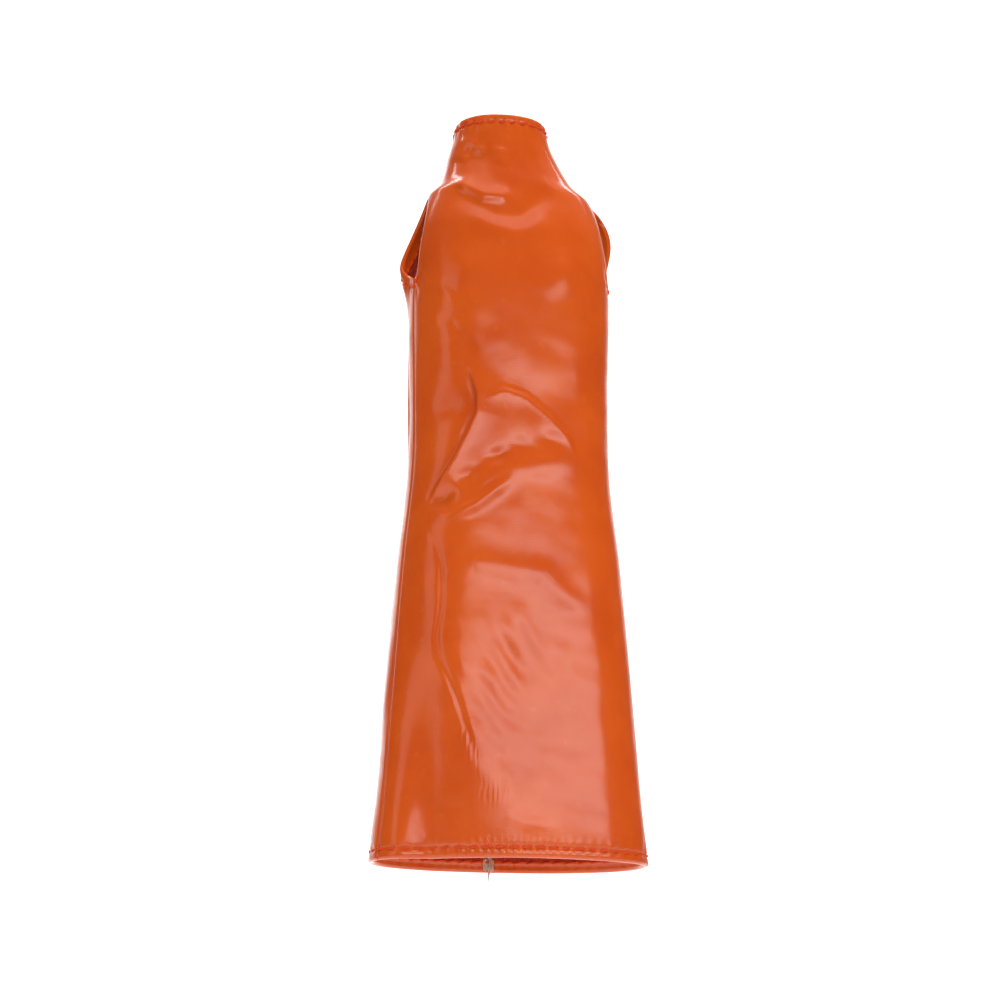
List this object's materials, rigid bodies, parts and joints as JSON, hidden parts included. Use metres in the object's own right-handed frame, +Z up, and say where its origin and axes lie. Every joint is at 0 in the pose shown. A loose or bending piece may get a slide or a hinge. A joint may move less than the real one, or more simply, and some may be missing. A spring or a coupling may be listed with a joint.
{
  "type": "doll dress",
  "caption": "Sleeveless mock-neck A-line doll dress in glossy coated sheet, with turned and topstitched edges and a hook-and-loop opening down the back.",
  "frame": {"origin": "centre of the neck opening, level with the top of the collar", "axes": "+Z up, towards the neck; -Y towards the front of the dress; +X towards the wearer's left"},
  "size_m": [0.0584, 0.0322, 0.1626],
  "materials": {
    "patent": "high-gloss orange coated sheet",
    "tape": "dark woven hook-and-loop tape",
    "thread": "matte red-orange sewing thread",
    "raw_thread": "undyed frayed thread"
  },
  "bodies": {
    "dress": {"front_panel": "patent", "back_left_panel": "patent", "back_right_panel": "patent", "loop_tape": "tape", "hook_tape": "tape", "loop_tape_stitch": "thread", "hook_tape_stitch": "thread", "collar_stitch": "thread", "armhole_left_stitch": "thread", "armhole_right_stitch": "thread", "hem_stitch": "thread", "side_seam_left_thread": "thread", "side_seam_right_thread": "thread", "shoulder_seam_left_thread": "thread", "shoulder_seam_right_thread": "thread", "centre_back_seam_thread": "thread", "slit_bartack": "thread", "thread_tail": "raw_thread"},
    "over_flap": {"back_left_flap": "patent", "loop_tape_flap": "tape", "loop_tape_stitch_flap": "thread", "collar_stitch_left_flap": "thread"},
    "under_flap": {"back_right_flap": "patent", "hook_tape_flap": "tape", "hook_tape_stitch_flap": "thread", "collar_stitch_right_flap": "thread"}
  },
  "joints": [
    {"name": "over_flap_fold", "type": "hinge", "parent": "dress", "child": "over_flap", "pos_m": [0.0061, 0.0075, 0], "axis": [-0.0854, 0.1021, -0.9911], "range_deg": [0, 120]},
    {"name": "under_flap_fold", "type": "hinge", "parent": "dress", "child": "under_flap", "pos_m": [-0.00605, 0.0074, 0], "axis": [-0.1357, -0.062, 0.9888], "range_deg": [0, 60]}
  ],
  "couplings": [
    {"joint": "under_flap_fold", "follows": "over_flap_fold", "ratio": 0.5}
  ]
}
